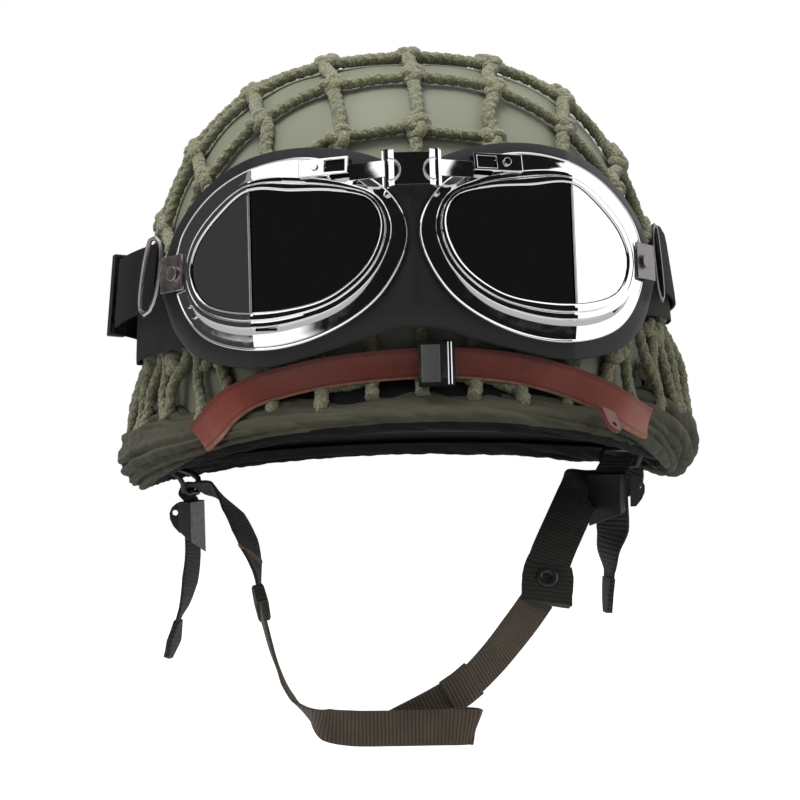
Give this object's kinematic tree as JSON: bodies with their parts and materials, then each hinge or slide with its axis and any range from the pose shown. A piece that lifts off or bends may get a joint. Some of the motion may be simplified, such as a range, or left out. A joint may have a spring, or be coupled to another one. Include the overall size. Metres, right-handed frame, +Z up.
{
  "type": "steel helmet with net cover, goggles and straps",
  "caption": "Olive steel helmet in a knotted cord net, with chrome split-lens goggles strapped on its front, a leather brim strap and a webbing chin strap.",
  "frame": {"origin": "the seat of the crown: the point inside the liner where the top of a head carries the helmet, on its middle plane", "axes": "+Z up through the crown, -Y towards the front with the goggles, +X to the right in the picture"},
  "size_m": [0.2609, 0.2935, 0.305],
  "materials": {
    "shell": "satin",
    "liner": "matt",
    "net": "dyed cotton cord",
    "hem": "gathered cloth",
    "band": "woven elastic",
    "elastic": "woven elastic",
    "pad": "soft matt",
    "frame_chrome": "mirror polish",
    "lens": "dark mirror",
    "nickel": "worn nickel",
    "leather": "satin, tan cut edges",
    "black_hardware": "satin black",
    "webbing": "ribbed webbing",
    "brown_webbing": "ribbed webbing"
  },
  "bodies": {
    "root": {"steel_shell": "shell", "liner": "liner", "net_cover": "net", "hem_band": "hem", "helmet_band": "band", "goggle_strap": "elastic", "goggle_strap_tab": "elastic", "goggle_slider": "black_hardware", "leather_strap_under": "leather", "leather_strap": "leather", "leather_buckle": "black_hardware", "leather_loop": "leather", "goggle_pad": "pad", "bridge_bar": "frame_chrome", "strap_keeper": "black_hardware", "chin_band": "brown_webbing", "chin_band_back": "brown_webbing", "band_keeper": "brown_webbing", "snap_plate": "webbing", "chin_snap": "black_hardware", "goggle_frame_left": "frame_chrome", "lens_left_front": "lens", "lens_left_side": "lens", "bridge_clip_left": "frame_chrome", "bridge_screw_left": "frame_chrome", "strap_bracket_left": "nickel", "bracket_rivet_left": "nickel", "bail_left": "black_hardware", "chin_buckle_left": "black_hardware", "chin_tab_left": "black_hardware", "chin_strap_left": "webbing", "goggle_frame_right": "frame_chrome", "lens_right_front": "lens", "lens_right_side": "lens", "bridge_clip_right": "frame_chrome", "bridge_screw_right": "frame_chrome", "strap_bracket_right": "nickel", "bracket_rivet_right": "nickel", "bail_right": "black_hardware", "chin_buckle_right": "black_hardware", "chin_tab_right": "black_hardware", "chin_strap_right": "webbing"}
  },
  "joints": []
}
